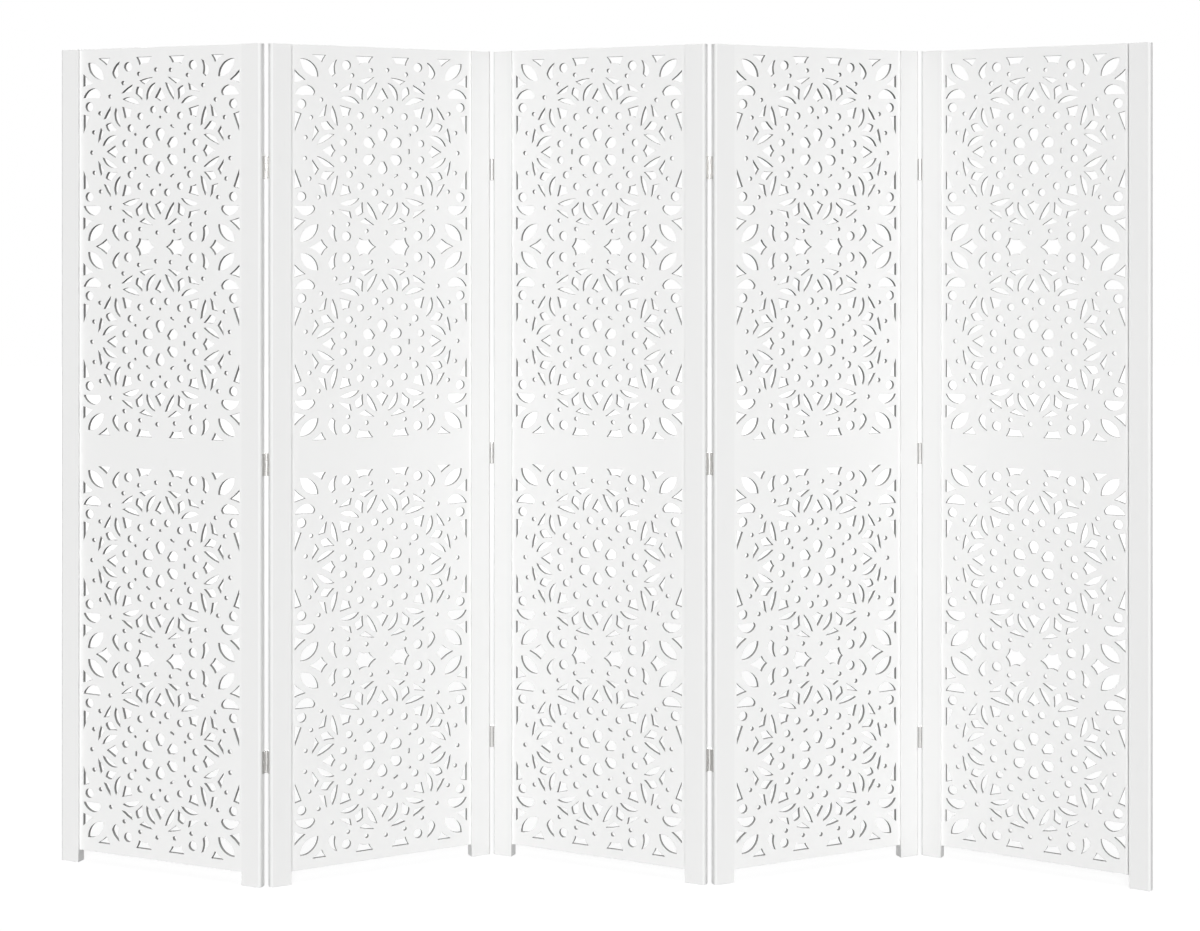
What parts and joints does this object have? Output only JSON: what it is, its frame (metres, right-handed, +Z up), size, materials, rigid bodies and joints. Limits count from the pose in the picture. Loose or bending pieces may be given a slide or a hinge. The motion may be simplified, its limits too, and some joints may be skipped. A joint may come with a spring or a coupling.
{
  "type": "folding screen",
  "caption": "Tall white folding room screen standing in a zigzag: slim fretwork boards cut with star medallions, each held between uprights, joined by small butt hinges.",
  "frame": {"origin": "centre of the screen's footprint, on the floor, in its zigzag pose", "axes": "+Z up, +X to the right along the screen's length, -Y to the front"},
  "size_m": [2.2395, 0.2566, 1.7],
  "materials": {
    "board_paint": "white satin paint",
    "stile_paint": "white satin paint",
    "hinge_metal": "satin nickel"
  },
  "bodies": {
    "panel_1": {"panel_1_board": "board_paint", "panel_1_left_stile": "stile_paint", "panel_1_right_stile": "stile_paint", "joint_1_left_leaves": "hinge_metal", "joint_1_pins": "hinge_metal"},
    "panel_2": {"panel_2_board": "board_paint", "panel_2_left_stile": "stile_paint", "panel_2_right_stile": "stile_paint", "joint_2_left_leaves": "hinge_metal", "joint_2_pins": "hinge_metal", "joint_1_right_leaves": "hinge_metal"},
    "panel_3": {"panel_3_board": "board_paint", "panel_3_left_stile": "stile_paint", "panel_3_right_stile": "stile_paint", "joint_3_left_leaves": "hinge_metal", "joint_3_pins": "hinge_metal", "joint_2_right_leaves": "hinge_metal"},
    "panel_4": {"panel_4_board": "board_paint", "panel_4_left_stile": "stile_paint", "panel_4_right_stile": "stile_paint", "joint_4_left_leaves": "hinge_metal", "joint_4_pins": "hinge_metal", "joint_3_right_leaves": "hinge_metal"},
    "panel_5": {"panel_5_board": "board_paint", "panel_5_left_stile": "stile_paint", "panel_5_right_stile": "stile_paint", "joint_4_right_leaves": "hinge_metal"}
  },
  "joints": [
    {"name": "fold_2", "type": "hinge", "parent": "panel_3", "child": "panel_2", "pos_m": [-0.21881, 0.11249, 0.85], "axis": [0, 0, 1], "range_deg": [-19, 128]},
    {"name": "fold_1", "type": "hinge", "parent": "panel_2", "child": "panel_1", "pos_m": [-0.66324, -0.09016, 0.85], "axis": [0, 0, -1], "range_deg": [-16, 131]},
    {"name": "fold_3", "type": "hinge", "parent": "panel_3", "child": "panel_4", "pos_m": [0.23243, -0.07453, 0.85], "axis": [0, 0, 1], "range_deg": [-16, 131]},
    {"name": "fold_4", "type": "hinge", "parent": "panel_4", "child": "panel_5", "pos_m": [0.68686, 0.10459, 0.85], "axis": [0, 0, -1], "range_deg": [-20, 127]}
  ]
}
